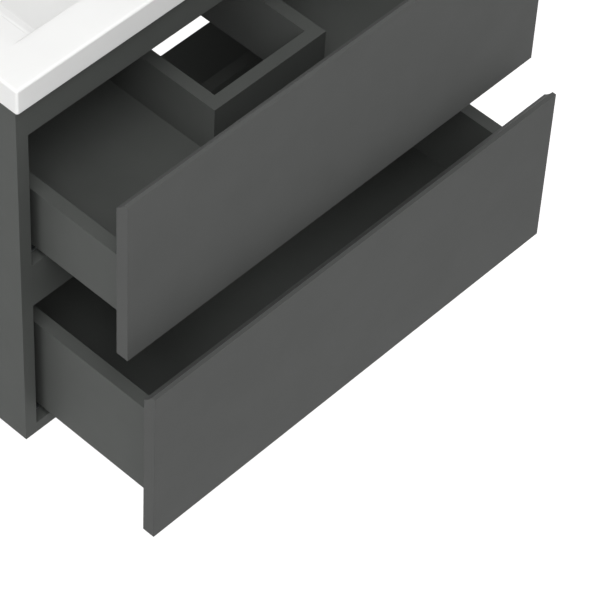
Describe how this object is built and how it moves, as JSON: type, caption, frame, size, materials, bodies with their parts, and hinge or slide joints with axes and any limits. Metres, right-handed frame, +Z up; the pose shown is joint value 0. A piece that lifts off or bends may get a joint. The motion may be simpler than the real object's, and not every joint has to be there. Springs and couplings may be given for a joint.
{
  "type": "wall-hung vanity",
  "caption": "Wall-hung bathroom vanity: dark matt cabinet under a ceramic basin, with scooped-edge drawers on full-extension runners; the upper drawer is cut out for the drain",
  "frame": {"origin": "on the wall plane, at the centre of the four screw holes of the two wall plates", "axes": "+Z up, +Y into the wall, so the drawers open along -Y; +X to the right seen from the front"},
  "size_m": [0.61, 0.633, 0.523],
  "materials": {
    "board": "dark grey matt lacquer on wood board",
    "basin": "white glaze",
    "runner_steel": "zinc-plated sheet",
    "plate_steel": "zinc-plated sheet",
    "fastener_steel": "zinc-plated",
    "hanger_plastic": "matt",
    "clip_plastic": "matt",
    "bumper_rubber": "soft, translucent",
    "dowel_wood": "plain beech"
  },
  "bodies": {
    "cabinet": {"side_left": "board", "side_right": "board", "bottom_panel": "board", "front_rail_top": "board", "front_rail_middle": "board", "back_rail_top": "board", "back_rail_bottom": "board", "carcass_dowels": "dowel_wood", "carcass_cam_bolts": "fastener_steel", "carcass_cams": "fastener_steel", "basin": "basin", "hanger_left": "hanger_plastic", "hanger_right": "hanger_plastic", "hanger_screws": "fastener_steel", "wall_plate_left": "plate_steel", "wall_plate_right": "plate_steel", "upper_runner_left": "runner_steel", "upper_runner_right": "runner_steel", "lower_runner_left": "runner_steel", "lower_runner_right": "runner_steel", "runner_screws": "fastener_steel"},
    "upper_drawer": {"upper_front": "board", "upper_side_left": "board", "upper_side_right": "board", "upper_bottom": "board", "upper_back_left": "board", "upper_back_right": "board", "recess_left": "board", "recess_front": "board", "recess_right": "board", "upper_dowels": "dowel_wood", "upper_rider_left": "runner_steel", "upper_rider_right": "runner_steel", "upper_clip_left": "clip_plastic", "upper_clip_right": "clip_plastic", "upper_bumpers": "bumper_rubber"},
    "lower_drawer": {"lower_front": "board", "lower_side_left": "board", "lower_side_right": "board", "lower_bottom": "board", "lower_back": "board", "lower_dowels": "dowel_wood", "lower_rider_left": "runner_steel", "lower_rider_right": "runner_steel", "lower_clip_left": "clip_plastic", "lower_clip_right": "clip_plastic", "lower_bumpers": "bumper_rubber"},
    "upper_middle_members": {"upper_middle_left": "runner_steel", "upper_middle_right": "runner_steel"},
    "lower_middle_members": {"lower_middle_left": "runner_steel", "lower_middle_right": "runner_steel"}
  },
  "joints": [
    {"name": "upper_drawer_slide", "type": "slide", "parent": "cabinet", "child": "upper_drawer", "axis": [0, -1, 0], "range_m": [-0.128, 0.102]},
    {"name": "lower_drawer_slide", "type": "slide", "parent": "cabinet", "child": "lower_drawer", "axis": [0, -1, 0], "range_m": [-0.166, 0.064]},
    {"name": "upper_middle_slide", "type": "slide", "parent": "cabinet", "child": "upper_middle_members", "axis": [0, -1, 0], "range_m": [-0.064, 0.051]},
    {"name": "lower_middle_slide", "type": "slide", "parent": "cabinet", "child": "lower_middle_members", "axis": [0, -1, 0], "range_m": [-0.083, 0.032]}
  ],
  "couplings": [
    {"joint": "upper_middle_slide", "follows": "upper_drawer_slide", "ratio": 0.5},
    {"joint": "lower_middle_slide", "follows": "lower_drawer_slide", "ratio": 0.5}
  ]
}
